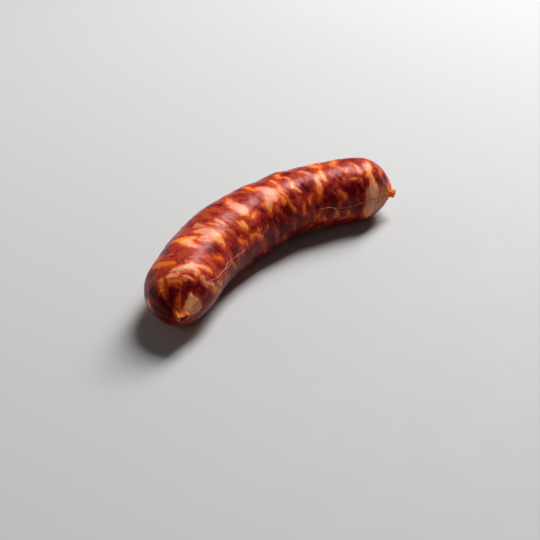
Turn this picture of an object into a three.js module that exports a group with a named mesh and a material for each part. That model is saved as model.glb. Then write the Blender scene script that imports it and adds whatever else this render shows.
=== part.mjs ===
import * as THREE from 'three';

// One smoked pork sausage: a single link of coarse pork in a natural casing, curved like a
// shallow banana and lying on its side. Both ends are gathered: the casing runs into pleats
// that meet in a short twisted knot. Units are millimetres, +Z is up, the link rests on
// z = 0 on a narrow flat strip, and +X runs from its near end to its far end.

// Driving dimensions.
const LINK_LENGTH = 220; // pole to pole, along the bend
const END_TURN = 38.6; // heading at each end from the straight chord, in degrees
const HOOK_POWER = 9; // how late the ends hook in: higher is closer to the pole
const NEAR_HOOK = 38.8; // further turn right at the near pole, in degrees
const FAR_HOOK = 30.4; // the same at the far pole
const HALF_THICKNESS = [21.6, 21.9, 23.1, 19.9]; // near to far, Bezier control values
const REST_SINK = 0.6; // how far the soft underside is pressed flat

// Each end: how long its taper is, how square the shoulder, how blunt the tip, how far the
// pole droops, and its knot, with how widely the taper flows into it. Pleats are grooves that
// fade out along the taper.
const NEAR_END = {
  taper: 31, shoulder: 2.2, bluntness: 1.3, droop: -0.6,
  knotRadius: 2.6, knotLength: 2.0, knotFlare: 0.12, knotBlend: 1.8,
  pleats: 11, pleatDepth: 0.75, pleatReach: 24, pleatPhase: 0.4, twist: 0.8,
};
const FAR_END = {
  taper: 23, shoulder: 2.0, bluntness: 1.75, droop: 1.5,
  knotRadius: 2.1, knotLength: 3.3, knotFlare: 0.16, knotBlend: 6.0,
  pleats: 10, pleatDepth: 0.8, pleatReach: 26, pleatPhase: 1.3, twist: -1.4,
};
const PLEAT_SHARE = 0.2; // a pleat is never deeper than this share of the local radius
const PLEAT_ROUNDNESS = 0.7; // below 1 the ridges are wide and the valleys sharp
const PLEAT_LEVEL = 0.75; // share of the pleat's height that stays level with the skin
const PLEAT_FADE = 1.4; // how fast the pleats die out away from the pole
const PLEAT_REACH_SPREAD = 0.28; // some pleats run further than others by this share
const PLEAT_DRIFT = [
  { waves: 2, size: 0.22, phase: 0.7 },
  { waves: 3, size: 0.12, phase: 2.1 },
]; // uneven spacing: how far the pleats are pushed round the end, in radians
const KNOT_BLUNTNESS = 8; // higher is flatter at the knot's cut face

// Hand-placed swells and dents: millimetres along the link from the near pole, degrees
// around it (0 is the outside of the bend, 90 the top), height and reach in millimetres.
const SWELLS = [
  { along: 12, around: 320, rise: -3.0, reach: 9 },
  { along: 8, around: 275, rise: -1.5, reach: 12 },
  { along: 21, around: 222, rise: -2.4, reach: 12 },
  { along: 46, around: 36, rise: -1.7, reach: 8 },
  { along: 62, around: 38, rise: 0.6, reach: 12 },
  { along: 100, around: 48, rise: 0.7, reach: 22 },
  { along: 104, around: 225, rise: 0.6, reach: 8 },
  { along: 130, around: 55, rise: -1.0, reach: 7 },
  { along: 141, around: 55, rise: 1.1, reach: 9 },
  { along: 140, around: 228, rise: -0.9, reach: 22 },
  { along: 183, around: 235, rise: 0.4, reach: 11 },
  { along: 194, around: 56, rise: 1.1, reach: 12 },
  { along: 215, around: 54, rise: 4.4, reach: 9 },
];

// Fine unevenness of the coarse filling: waves of falling length with golden-angle phases.
const LUMP_WAVES = 14;
const LUMP_LONGEST = 46;
const LUMP_SHRINK = 0.9; // each wave is this much shorter than the one before
const LUMP_HEIGHT = 0.16;
const LUMP_TURNS = 3; // a wave winds round the link at most this many times over its length
const LUMP_STRIDE = 3; // steps the winding from wave to wave so that neighbours differ
const GOLDEN_ANGLE = Math.PI * (3 - Math.sqrt(5));

// Mesh resolution.
const AROUND = 60;
const STATIONS = 72;
const PROFILE_SAMPLES = 4000;
const DENSE_REACH = 30; // length at each end where the stations are closer together
const END_DENSITY = 1.9; // how much closer

const CASING_COLOUR = 0x7a2616;

const radians = (degrees) => (degrees * Math.PI) / 180;
const clamp01 = (value) => Math.min(1, Math.max(0, value));

// Smooth maximum of two radii, blended over the width k.
function smoothMax(a, b, k) {
  const h = Math.max(k - Math.abs(a - b), 0) / k;
  return Math.max(a, b) + (h * h * k) / 4;
}

function heading(along) {
  const turn = 1 - 2 * clamp01(along / LINK_LENGTH);
  const hook = turn > 0 ? NEAR_HOOK : FAR_HOOK;
  return radians(END_TURN * turn + hook * turn ** HOOK_POWER);
}

function halfThickness(along) {
  const t = clamp01(along / LINK_LENGTH);
  const [a, b, c, d] = HALF_THICKNESS;
  return a * (1 - t) ** 3 + 3 * b * t * (1 - t) ** 2 + 3 * c * t ** 2 * (1 - t) + d * t ** 3;
}

// Share of the full thickness that the taper leaves at a distance from its pole.
function taperShare(fromPole, end) {
  const rest = clamp01(1 - fromPole / end.taper);
  return (1 - rest ** end.shoulder) ** (1 / end.bluntness);
}

// The knot is a stub past the pole, a little wider towards its blunt end.
function knotRadius(fromPole, end) {
  const past = clamp01(-fromPole / end.knotLength);
  return end.knotRadius * (1 + end.knotFlare * past) * Math.sqrt(1 - past ** KNOT_BLUNTNESS);
}

function plainRadius(along) {
  const near = taperShare(along, NEAR_END);
  const far = taperShare(LINK_LENGTH - along, FAR_END);
  const body = halfThickness(along) * near * far;
  const end = along < LINK_LENGTH / 2 ? NEAR_END : FAR_END;
  const fromPole = Math.min(along, LINK_LENGTH - along);
  const knot = knotRadius(fromPole, end);
  const blend = end.knotBlend * clamp01(knot / end.knotRadius);
  return blend > 0 ? smoothMax(body, knot, blend) : body;
}

function axisHeight(along) {
  const near = clamp01(1 - along / NEAR_END.taper) ** 2 * NEAR_END.droop;
  const far = clamp01(1 - (LINK_LENGTH - along) / FAR_END.taper) ** 2 * FAR_END.droop;
  return halfThickness(along) - REST_SINK - near - far;
}

// Groove pattern round a gathered end: round ridges, sharp valleys, uneven spacing.
function pleatWave(around, end, turned) {
  let drifted = around;
  for (const drift of PLEAT_DRIFT) {
    drifted += drift.size * Math.sin(drift.waves * around + drift.phase);
  }
  const ridge = Math.abs(Math.sin((end.pleats * drifted) / 2 + end.pleatPhase + turned));
  return ridge ** PLEAT_ROUNDNESS - PLEAT_LEVEL;
}

function pleatRelief(fromPole, around, radius, end) {
  const spread = PLEAT_REACH_SPREAD * (1 - Math.sin(3 * around + end.pleatPhase));
  const fade = clamp01(1 - Math.max(fromPole, 0) / (end.pleatReach * (1 - spread))) ** PLEAT_FADE;
  const turned = end.twist * clamp01(1 - fromPole / end.knotLength);
  const depth = Math.min(end.pleatDepth, PLEAT_SHARE * radius);
  return depth * fade * pleatWave(around, end, turned);
}

function lumpRelief(along, around) {
  let height = 0;
  let length = LUMP_LONGEST;
  for (let wave = 1; wave <= LUMP_WAVES; wave += 1) {
    const turns = ((wave * LUMP_STRIDE) % (2 * LUMP_TURNS + 1)) - LUMP_TURNS;
    const angle = (2 * Math.PI * along) / length + turns * around + wave * GOLDEN_ANGLE;
    height += Math.sin(angle) * (length / LUMP_LONGEST);
    length *= LUMP_SHRINK;
  }
  return LUMP_HEIGHT * height;
}

function swellRelief(along, around) {
  let height = 0;
  for (const swell of SWELLS) {
    const turned = around - radians(swell.around);
    const across = Math.atan2(Math.sin(turned), Math.cos(turned)) * halfThickness(along);
    const distance = Math.hypot(along - swell.along, across) / swell.reach;
    height += swell.rise * Math.exp(-distance * distance);
  }
  return height;
}

function skinRadius(along, around) {
  const radius = plainRadius(along);
  const end = along < LINK_LENGTH / 2 ? NEAR_END : FAR_END;
  const fromPole = Math.min(along, LINK_LENGTH - along);
  const bodyShare = clamp01(fromPole / end.taper);
  const relief = (lumpRelief(along, around) + swellRelief(along, around)) * bodyShare;
  return radius + relief + pleatRelief(fromPole, around, radius, end);
}

// Walks the axis once: arc position, place in the plan and weighted distance along the skin.
function walkAxis() {
  const first = -NEAR_END.knotLength;
  const last = LINK_LENGTH + FAR_END.knotLength;
  const step = (last - first) / PROFILE_SAMPLES;
  const walk = [{ along: first, x: 0, y: 0, skin: 0 }];
  for (let i = 1; i <= PROFILE_SAMPLES; i += 1) {
    const before = walk[i - 1];
    const along = first + step * i;
    const middle = heading(along - step / 2);
    const fromPole = Math.min(along, LINK_LENGTH - along);
    const density = fromPole < DENSE_REACH ? END_DENSITY : 1;
    const rise = plainRadius(along) - plainRadius(before.along);
    walk.push({
      along,
      x: before.x + Math.cos(middle) * step,
      y: before.y + Math.sin(middle) * step,
      skin: before.skin + Math.hypot(step, rise) * density,
    });
  }
  return walk;
}

// Picks stations that are evenly spaced along the skin.
function placeStations(walk) {
  const total = walk[walk.length - 1].skin;
  const stations = [];
  let index = 0;
  for (let i = 1; i < STATIONS; i += 1) {
    const wanted = (total * i) / STATIONS;
    while (walk[index].skin < wanted) index += 1;
    stations.push(walk[index]);
  }
  return stations;
}

function skinPoint(station, around) {
  const radius = skinRadius(station.along, around);
  const turn = heading(station.along);
  const sideways = Math.cos(around) * radius;
  const height = axisHeight(station.along) + Math.sin(around) * radius;
  return [
    station.x - Math.sin(turn) * sideways,
    station.y + Math.cos(turn) * sideways,
    Math.max(height, 0),
  ];
}

function makeSausageGeometry() {
  const walk = walkAxis();
  const stations = placeStations(walk);
  const positions = [];
  for (const station of stations) {
    for (let i = 0; i < AROUND; i += 1) {
      positions.push(...skinPoint(station, (2 * Math.PI * i) / AROUND));
    }
  }
  const nearTip = positions.length / 3;
  positions.push(walk[0].x, walk[0].y, axisHeight(walk[0].along));
  const farTip = nearTip + 1;
  const end = walk[walk.length - 1];
  positions.push(end.x, end.y, axisHeight(end.along));

  const faces = [];
  for (let ring = 0; ring < stations.length - 1; ring += 1) {
    for (let i = 0; i < AROUND; i += 1) {
      const a = ring * AROUND + i;
      const b = ring * AROUND + ((i + 1) % AROUND);
      faces.push(a, b, a + AROUND, b, b + AROUND, a + AROUND);
    }
  }
  const lastRing = (stations.length - 1) * AROUND;
  for (let i = 0; i < AROUND; i += 1) {
    const next = (i + 1) % AROUND;
    faces.push(nearTip, next, i);
    faces.push(farTip, lastRing + i, lastRing + next);
  }

  const geometry = new THREE.BufferGeometry();
  geometry.setAttribute('position', new THREE.Float32BufferAttribute(positions, 3));
  geometry.setIndex(faces);
  return geometry;
}

// The origin is the middle of the link's outline in plan, on the resting plane.
function centreOnPlan(geometry) {
  geometry.computeBoundingBox();
  const { min, max } = geometry.boundingBox;
  geometry.translate(-(min.x + max.x) / 2, -(min.y + max.y) / 2, 0);
  geometry.computeVertexNormals();
  return geometry;
}

const casing = new THREE.MeshStandardMaterial({
  color: CASING_COLOUR,
  roughness: 0.35,
  metalness: 0,
});

const sausage = new THREE.Mesh(centreOnPlan(makeSausageGeometry()), casing);
sausage.name = 'sausage';

const link = new THREE.Group();
link.add(sausage);

export default link;
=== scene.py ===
"""One smoked pork sausage, drawn round its solid: the filled casing with its marbling, wrinkles
and puckered ends, the thin strands on it, and a plain studio stage. Sizes are in millimetres
until they become positions, which are in metres."""

import math

import bpy
import numpy as np
from bpy.props import FloatProperty, FloatVectorProperty, IntProperty, PointerProperty
from mathutils import Matrix, Vector, noise


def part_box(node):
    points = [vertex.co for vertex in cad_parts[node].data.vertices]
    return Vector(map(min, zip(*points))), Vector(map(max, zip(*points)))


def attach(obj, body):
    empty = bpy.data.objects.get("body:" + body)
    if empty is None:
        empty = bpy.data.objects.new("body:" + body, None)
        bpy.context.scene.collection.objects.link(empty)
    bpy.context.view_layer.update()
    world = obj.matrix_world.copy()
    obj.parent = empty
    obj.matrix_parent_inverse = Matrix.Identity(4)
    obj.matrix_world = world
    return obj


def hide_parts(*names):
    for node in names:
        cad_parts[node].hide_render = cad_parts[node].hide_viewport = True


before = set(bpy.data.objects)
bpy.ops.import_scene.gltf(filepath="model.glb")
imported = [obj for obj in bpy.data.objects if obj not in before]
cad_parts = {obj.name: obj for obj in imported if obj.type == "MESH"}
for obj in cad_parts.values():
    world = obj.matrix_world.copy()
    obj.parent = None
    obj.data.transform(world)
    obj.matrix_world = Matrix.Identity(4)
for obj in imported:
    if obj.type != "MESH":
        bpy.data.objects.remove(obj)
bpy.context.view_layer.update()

bl_info = {
    "name": "Smoked Pork Sausage",
    "version": (1, 0, 0),
    "blender": (4, 5, 0),
    "location": "3D View > Sidebar > Sausage",
    "description": "Draws one smoked link: casing, marbling, strands and a studio stage",
    "category": "Object",
}

MM = 0.001
UP = Vector((0.0, 0.0, 1.0))

# The link's own form, as its solid has it.
LINK_LENGTH = 220.0  # pole to pole, along the bend
END_TURN = 38.6  # heading at each end from the straight chord, in degrees
HOOK_POWER = 9
NEAR_HOOK = 38.8
FAR_HOOK = 30.4
HALF_THICKNESS = (21.6, 21.9, 23.1, 19.9)  # near to far, Bezier control values
REST_SINK = 0.6  # how far the soft underside is pressed flat
NEAR_END = {
    "taper": 31.0, "shoulder": 2.2, "bluntness": 1.3, "droop": -0.6,
    "knot_radius": 2.6, "knot_length": 2.0, "knot_flare": 0.12, "knot_blend": 1.8,
    "pleats": 11, "pleat_depth": 0.75, "pleat_reach": 24.0, "pleat_phase": 0.4, "twist": 0.8,
    "knot_oval": 0.42, "knot_lips": 0.14, "cup_depth": 0.8, "fine_pleats": 34, "fine_depth": 0.13,
}
FAR_END = {
    "taper": 23.0, "shoulder": 2.0, "bluntness": 1.75, "droop": 1.5,
    "knot_radius": 2.1, "knot_length": 3.3, "knot_flare": 0.16, "knot_blend": 6.0,
    "pleats": 10, "pleat_depth": 0.8, "pleat_reach": 26.0, "pleat_phase": 1.3, "twist": -1.4,
    "knot_oval": 0.12, "knot_lips": 0.05, "cup_depth": 0.5, "fine_pleats": 29, "fine_depth": 0.16,
}
PLEAT_SHARE = 0.2  # a pleat is never deeper than this share of the local radius
PLEAT_ROUNDNESS = 0.7
PLEAT_LEVEL = 0.75
PLEAT_FADE = 1.4
PLEAT_REACH_SPREAD = 0.28
PLEAT_DRIFT = ((2, 0.22, 0.7), (3, 0.12, 2.1))  # waves round the end, size, phase
KNOT_BLUNTNESS = 8
SWELLS = (  # along, around, rise, reach
    (12, 320, -3.0, 9), (8, 275, -1.5, 12), (21, 222, -2.4, 12), (46, 36, -1.7, 8),
    (62, 38, 0.6, 12), (100, 48, 0.7, 22), (104, 225, 0.6, 8), (130, 55, -1.0, 7),
    (141, 55, 1.1, 9), (140, 228, -0.9, 22), (183, 235, 0.4, 11), (194, 56, 1.1, 12),
    (215, 54, 4.4, 9),
)
LUMP_WAVES = 14
LUMP_LONGEST = 46.0
LUMP_SHRINK = 0.9
LUMP_HEIGHT = 0.16
LUMP_TURNS = 3
LUMP_STRIDE = 3
GOLDEN_ANGLE = math.pi * (3 - math.sqrt(5))

# The casing's finer form.
RINGS = 392
CUP_RINGS = 8  # rings from each knot's rim down into its hollow
AROUND = 238
SKIN_SAMPLES = 6000
DENSE_REACH = 26.0
END_DENSITY = 1.7
KNOT_RIM = 0.93  # share of the knot's length at which its rim turns inwards
OVAL_REACH = 4.5  # how far from the pole a knot's oval shape fades out
LIP_WAVES = 3  # folds round a knot's rim
FINE_REACH = 15.0  # how far the fine pleats run
FAT_BULGE = 0.16  # how far fat stands out under the casing
FAT_SPREAD = 1.3  # soft edge of fat, as a share of its drawn width
AXIS_STEPS = 4000

# Folds and dents in the casing: rise, width, then the points that it runs through, each as
# millimetres along from the near pole and degrees around (0 outside the bend, 90 the top).
FOLDS = (
    (0.42, 0.55, (0.7, 36), (3.4, 50), (7.0, 50), (10.5, 53)),
    (0.55, 0.75, (-0.5, 66), (3.0, 91), (8.0, 98), (13.7, 98)),
    (0.30, 0.45, (2.0, 138), (4.4, 150), (7.5, 157), (10.5, 162)),
    (0.28, 0.45, (2.2, 166), (5.0, 172), (9.5, 176)),
    (-0.40, 0.60, (1.0, 108), (4.0, 114), (9.0, 116)),
    (-0.35, 0.50, (2.5, 185), (6.0, 188), (10.0, 190)),
    (-0.60, 0.60, (219.5, 166), (212.8, 170), (206.0, 168.5), (197.0, 169)),
    (-0.45, 0.50, (218.5, 147), (213.5, 155), (207.5, 159)),
    (-0.40, 0.50, (219.3, 206), (216.5, 202), (210.0, 201)),
    (0.35, 0.60, (219.8, 182), (214.0, 184), (207.0, 183)),
    (0.30, 0.60, (219.0, 120), (213.0, 124), (207.0, 122)),
    (-0.35, 0.60, (219.0, 95), (212.0, 100), (205.0, 102)),
)

# Looks of a piece of fat through the casing: linear colour, how strongly it shows, and how
# strongly its edge is stained orange.
FAT_LOOKS = {
    "white": (0.92, 0.52, 0.38, 1.0, 1.0),
    "cream": (0.92, 0.42, 0.26, 1.0, 1.0),
    "pink": (0.86, 0.33, 0.25, 0.9, 0.7),
    "honey": (1.0, 0.42, 0.11, 1.0, 1.0),
    "orange": (0.92, 0.24, 0.04, 1.0, 1.0),
    "ember": (0.80, 0.155, 0.018, 0.85, 0.6),
    "clay": (0.88, 0.31, 0.15, 0.95, 0.5),
    "tan": (0.94, 0.50, 0.26, 0.95, 0.5),
    "dusk": (0.70, 0.31, 0.18, 0.85, 0.45),
    # amber and dim are darker fats; on the lower side their darkness is partly painted shade.
    "amber": (0.60, 0.21, 0.030, 0.65, 0.3),
    "dim": (0.42, 0.075, 0.014, 0.5, 0.3),
}

# The larger pieces of fat on the side that shows best. Each is a look and the beads that it
# runs through: along, around and half width.
FAT_PIECES = (
    # The near end and the arc behind it.
    ("tan", (1.6, 139, 0.9), (4.6, 137, 1.5), (7.8, 134, 1.5)),
    ("cream", (1.6, 154, 1.0), (5.0, 152, 1.9), (7.4, 150, 2.1), (8.2, 150, 1.2)),
    ("dusk", (1.8, 170, 1.0), (5.0, 168, 2.2), (7.0, 167, 2.6)),
    ("dusk", (2.0, 190, 0.8), (5.0, 187, 1.8), (7.2, 186, 2.1)),
    ("orange", (8.4, 54, 0.3), (11.5, 58, 1.2), (14.2, 59, 1.1)),
    ("ember", (13.2, 76, 0.7), (13.2, 84, 0.9), (12.4, 95, 0.7)),
    # The cream and pink pieces at 15 to 21 mm along and 75 to 124 degrees around take paler looks, partly as a
    # painted highlight where the lit band runs onto the near end.
    ("cream", (15.3, 75, 1.0), (16.2, 83, 1.8), (16.8, 93, 1.4)),
    ("pink", (15.0, 104, 0.8), (15.8, 112, 1.0), (15.2, 119, 0.6)),
    ("dim", (17.6, 36, 1.1), (18.4, 50, 1.5), (19.2, 60, 0.9)),
    ("orange", (25.2, 42, 0.8), (25.2, 56, 1.4), (23.4, 68, 1.3), (24.4, 82, 1.1)),
    ("cream", (18.8, 81, 1.1), (19.8, 90, 2.0), (20.6, 100, 2.2)),
    ("white", (20.8, 101, 1.6), (23.2, 109, 2.4)),
    ("cream", (22.6, 106, 2.4), (25.4, 113, 2.0), (22.8, 121, 2.0), (20.2, 124, 1.3)),
    ("cream", (27.2, 119, 1.0), (28.6, 127, 1.9), (30.6, 135, 1.3)),
    ("orange", (30.6, 134, 1.1), (31.6, 141, 0.9)),
    ("dusk", (20.8, 135, 1.2), (19.8, 145, 1.2), (23.0, 155, 1.2)),
    ("dusk", (21.4, 151, 1.0), (26.2, 161, 1.1)),
    ("dim", (39.2, 126, 1.5), (41.2, 130, 1.2)),
    ("orange", (45.3, 136, 0.5), (46.2, 143, 1.1), (49.4, 147, 0.9)),
    ("dim", (44.6, 165, 1.0), (46.6, 178, 1.1)),
    ("amber", (24.0, 168, 1.6), (29.0, 174, 1.4)),
    ("amber", (34.5, 171, 1.3), (39.5, 176, 1.3)),
    ("amber", (31.0, 184, 1.3), (37.0, 188, 1.1)),
    # The first third.
    ("orange", (45.6, 60, 0.8), (46.2, 70, 2.2), (46.4, 78, 2.8)),
    ("honey", (46.0, 78, 2.8), (45.4, 86, 3.3)),
    ("cream", (44.8, 88, 3.0), (43.6, 97, 2.2), (44.2, 104, 1.1)),
    ("cream", (49.6, 90, 1.5), (50.2, 102, 1.0)),
    ("dusk", (52.6, 107, 1.4), (54.8, 113, 1.8)),
    ("pink", (58.0, 89, 2.0), (60.2, 98, 2.8), (62.0, 105, 3.4)),
    ("pink", (53.0, 100, 1.2), (56.0, 104, 1.6), (60.0, 105, 1.8)),
    ("cream", (62.4, 106, 3.0), (61.6, 116, 3.6)),
    ("honey", (61.0, 118, 3.2), (60.6, 126, 2.7), (60.4, 134, 1.4)),
    ("ember", (66.3, 115, 1.5), (66.8, 124, 1.3)),
    ("dusk", (64.2, 79, 1.5), (63.8, 88, 1.2)),
    ("dusk", (69.4, 94, 0.9), (70.6, 107, 0.8)),
    ("tan", (73.8, 98, 0.9), (74.6, 113, 0.9)),
    ("dim", (73.4, 77, 1.0), (74.0, 86, 1.0)),
    ("dim", (72.2, 127, 0.9), (74.8, 130, 0.8)),
    ("ember", (77.6, 152, 1.5), (80.2, 161, 1.6)),
    ("amber", (58.8, 163, 0.5), (61.0, 172, 0.9), (62.8, 181, 0.7)),
    # The middle.
    ("honey", (84.4, 125, 1.2), (85.8, 132, 2.3), (87.0, 141, 1.4)),
    ("orange", (96.6, 73, 1.2), (96.2, 83, 1.8)),
    ("pink", (94.0, 88, 2.4), (93.4, 98, 3.2)),
    ("cream", (93.8, 104, 3.2), (94.4, 115, 3.7)),
    ("honey", (94.8, 119, 3.0), (95.2, 123, 1.8)),
    ("dim", (82.4, 70, 1.0), (83.2, 82, 1.2)),
    ("honey", (94.8, 131, 0.5), (99.4, 129.5, 0.8), (103.4, 128, 0.6)),
    ("orange", (86.8, 157, 0.6), (91.8, 159, 1.2), (96.6, 168, 0.8)),
    ("dim", (107.6, 78, 1.5), (110.6, 88, 1.2)),
    ("orange", (115.0, 66, 0.9), (115.6, 80, 1.2), (115.0, 92, 0.9)),
    ("cream", (117.4, 120, 2.0), (114.6, 129, 2.4)),
    ("orange", (114.2, 131, 2.2), (113.4, 138, 1.4)),
    ("pink", (118.8, 94, 2.0), (121.2, 103, 3.4)),
    ("cream", (121.6, 105, 3.2), (123.8, 113, 4.0), (122.0, 119, 2.8)),
    ("orange", (126.4, 119, 2.0), (128.2, 126, 1.9), (128.6, 132, 1.2)),
    ("cream", (132.0, 84, 0.9), (131.6, 95, 1.5), (131.4, 104, 1.4)),
    ("orange", (131.2, 105, 1.5), (129.6, 116, 1.5)),
    ("ember", (131.4, 118, 0.7), (131.8, 136, 0.8), (133.4, 155, 0.7)),
    ("dim", (113.4, 168, 0.6), (114.6, 182, 0.8)),
    ("dim", (115.8, 197, 1.0), (118.2, 209, 0.9)),
    ("dim", (122.8, 193, 0.9), (126.2, 213, 1.0)),
    ("dim", (132.2, 179, 0.8), (134.0, 189, 0.8)),
    # The far third.
    ("orange", (141.2, 71, 0.8), (138.6, 86, 1.2)),
    ("pink", (141.6, 91, 0.9), (141.4, 105, 1.4)),
    ("white", (141.2, 108, 1.3), (140.8, 118, 1.8)),
    ("tan", (142.6, 121, 0.9), (144.4, 127, 0.5)),
    ("ember", (142.6, 152, 0.9), (141.8, 158, 1.5), (141.6, 164, 1.1)),
    ("ember", (151.0, 141, 0.9), (150.0, 146, 1.3), (149.4, 152, 0.8)),
    ("dusk", (153.8, 87, 1.1), (157.2, 96, 1.5)),
    ("dim", (151.0, 168, 0.7), (152.2, 187, 0.8)),
    ("amber", (160.4, 190, 1.2), (161.4, 195, 1.0)),
    ("cream", (162.8, 108, 1.3), (161.8, 115, 2.0)),
    ("white", (161.2, 117, 2.0), (160.0, 128, 2.1)),
    ("orange", (159.6, 131, 2.0), (158.4, 141, 1.2)),
    ("honey", (168.0, 94, 0.9), (166.6, 103, 2.0), (166.0, 109, 2.4)),
    ("cream", (166.0, 111, 2.6), (166.8, 120, 1.9)),
    ("orange", (166.4, 58, 1.6), (167.0, 75, 2.3), (168.6, 90, 1.4)),
    ("orange", (172.6, 66, 0.6), (171.2, 87, 0.7)),
    ("orange", (181.6, 71, 0.8), (180.0, 82, 1.4), (178.4, 91, 1.2)),
    ("pink", (180.4, 97, 0.9), (182.0, 104, 0.9)),
    ("ember", (174.6, 146, 0.6), (176.0, 152, 1.1), (178.4, 159, 1.4)),
    ("amber", (170.4, 181, 0.9), (171.2, 190, 1.5)),
    ("amber", (180.6, 187, 0.9), (181.4, 192, 1.3)),
    ("dim", (174.0, 198, 1.1), (187.0, 203, 1.1)),
    ("pink", (191.4, 92, 0.9), (193.0, 102, 1.1)),
    ("pink", (194.2, 107, 1.3), (195.4, 116, 1.8)),
    ("pink", (186.2, 106, 1.0), (184.2, 115, 0.9)),
    ("clay", (181.0, 124, 0.2), (188.0, 127, 0.4), (195.0, 131, 0.2)),
    ("cream", (203.2, 87, 1.3), (203.4, 97, 2.3), (202.6, 109, 2.4)),
    ("honey", (202.4, 111, 2.2), (201.4, 122, 1.6)),
    ("clay", (203.0, 122, 1.4), (204.2, 130, 2.2), (205.0, 142, 2.4)),
    ("tan", (205.0, 147, 3.0), (204.8, 156, 4.6)),
    ("dusk", (204.8, 156, 5.2), (203.8, 166, 5.4), (202.2, 177, 4.9)),
    ("dusk", (202.0, 178, 4.8), (201.0, 190, 4.4), (200.6, 202, 3.4)),
    ("ember", (211.4, 84, 0.9), (212.0, 96, 1.3), (212.6, 104, 0.8)),
    # The knots.
    ("orange", (221.6, 0, 2.4), (221.6, 120, 2.4), (221.6, 240, 2.4), (221.6, 360, 2.4)),
    ("honey", (223.0, 60, 0.9), (223.2, 130, 0.9), (223.0, 200, 0.9)),
    ("orange", (218.4, 70, 1.0), (219.6, 110, 1.4), (219.4, 150, 1.2)),
    ("dusk", (-1.0, 0, 0.8), (-1.0, 120, 0.8), (-1.0, 240, 0.8), (-1.0, 360, 0.8)),
    ("orange", (-0.4, 62, 0.8), (1.6, 80, 0.8), (3.4, 90, 0.6), (5.6, 94, 0.3)),
    ("honey", (-0.4, 120, 0.9), (2.0, 124, 0.7)),
)

# Where the meat is paler (above 0) or darker (below 0) than usual: along, around, reach, tone. Most patches are the
# meat's own tone; a row along the top is a painted highlight, and a row along the underside is painted shade.
MEAT_TONES_AND_LIGHT = (
    (7, 50, 9, -0.7), (6, 95, 6, -0.8), (14, 132, 4, -0.8), (15, 152, 5, -0.6),
    (34, 128, 6, 0.4), (38, 145, 8, 0.2), (54, 128, 5, -0.7), (72, 142, 10, 0.4),
    (78, 156, 7, 0.2), (106, 142, 6, -0.5), (130, 150, 9, -0.4), (92, 140, 7, 0.2),
    (147, 130, 5, -0.4), (182, 150, 12, -0.7), (198, 130, 4, -0.6), (213, 125, 7, -0.9),
    # From (28, 205) to (188, 210): darker patches along the underside, painted shade.
    (120, 172, 14, -0.3), (60, 180, 12, -0.3), (28, 205, 12, -0.6), (50, 205, 13, -0.7),
    (72, 206, 13, -0.7), (95, 206, 13, -0.7), (118, 208, 13, -0.7), (142, 208, 13, -0.7),
    (166, 210, 13, -0.7), (188, 210, 12, -0.6), (5, 20, 9, -0.6), (4, 330, 9, -0.6),
    (160, 128, 6, -0.4), (150, 120, 6, -0.4), (36, 66, 9, 0.6), (56, 68, 9, 0.6),
    (76, 66, 9, 0.6), (105, 62, 9, 0.6), (130, 62, 9, 0.5), (152, 66, 8, 0.3),
    # From (31, 106) to (189, 107): paler patches along the lit band on top, a painted highlight.
    (31, 106, 8, 0.7), (50, 103, 8, 0.7), (70, 103, 8, 0.7), (85, 103, 7, 0.7),
    (107, 103, 8, 0.7), (134, 106, 8, 0.7), (152, 103, 8, 0.7), (174, 106, 8, 0.7),
    (189, 107, 8, 0.7), (210, 90, 6, 0.4), (36, 130, 8, 0.5), (52, 138, 8, 0.3),
)

# Where the casing holds no meat and shows its own colour: along, around, reach, strength.
BARE_CASING = (
    (216.0, 148, 4.0, 0.6), (215.0, 168, 4.5, 0.7), (213.5, 188, 5.0, 0.8), (213, 208, 5.0, 0.7),
    (218, 150, 3.0, 0.5), (218, 180, 3.0, 0.5), (210.0, 166, 3.0, 0.6), (209.0, 190, 3.5, 0.6),
    (218, 300, 4, 0.8), (218, 240, 4, 0.8), (2.6, 92, 1.4, 0.5), (0.5, 10, 1.8, 0.6),
    (0.5, 150, 2.0, 0.8), (0.5, 220, 2.2, 0.7), (0.5, 290, 2.2, 0.8),
)

# Fat on the side that faces away, and small flecks all over, are scattered by these numbers.
HIDDEN_FROM = 228.0  # degrees around
HIDDEN_TO = 402.0
SCATTER_ENDS = (12.0, 212.0)
HIDDEN_PIECES = 78
HIDDEN_GAP = 7.5
HIDDEN_LENGTH = (3.0, 11.0)
HIDDEN_WIDTH = (0.9, 2.7)
HIDDEN_TILT = 25.0  # degrees
HIDDEN_LOOKS = ("cream", "honey", "orange", "orange", "ember", "pink", "tan", "dim")
FLECKS = 70
FLECK_LENGTH = (0.6, 3.6)
FLECK_WIDTH = (0.25, 0.6)
FLECK_LOOKS = ("dim", "ember", "dim", "amber", "ember")
BLEND_SOFTNESS = 0.5  # how softly the colours of touching pieces run together
WARP_STEPS = ((9.0, 1.5), (4.2, 0.85), (2.0, 0.4))  # size and strength of the uneven edges

# Strands on the casing: half width, then along and around for each point.
VEINS = (
    (0.22, (31, 157), (36, 160), (41, 162.5), (47, 162.5), (52, 160.5), (56, 163), (61, 164.5)),
    (0.15, (47, 162.5), (51, 166), (55, 168), (60, 169)),
    (0.16, (61, 164.5), (67, 165), (72, 168), (78, 169)),
    (0.19, (154, 168), (159, 168.5), (164, 169), (168, 173), (174, 176.5), (181, 177.5)),
    (0.16, (181, 177.5), (186, 177.5), (191, 174.5), (197, 172)),
    (0.13, (168, 173), (172, 180), (177, 186), (184, 190)),
    (0.14, (86.5, 156), (91, 157.5), (95, 163), (98.5, 171)),
    (0.14, (22, 148), (26, 152), (31, 157)),
    (0.17, (70, 262), (84, 268), (97, 265), (112, 270), (126, 276)),
    (0.17, (126, 330), (140, 336), (152, 332), (166, 338), (178, 334)),
)

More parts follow.
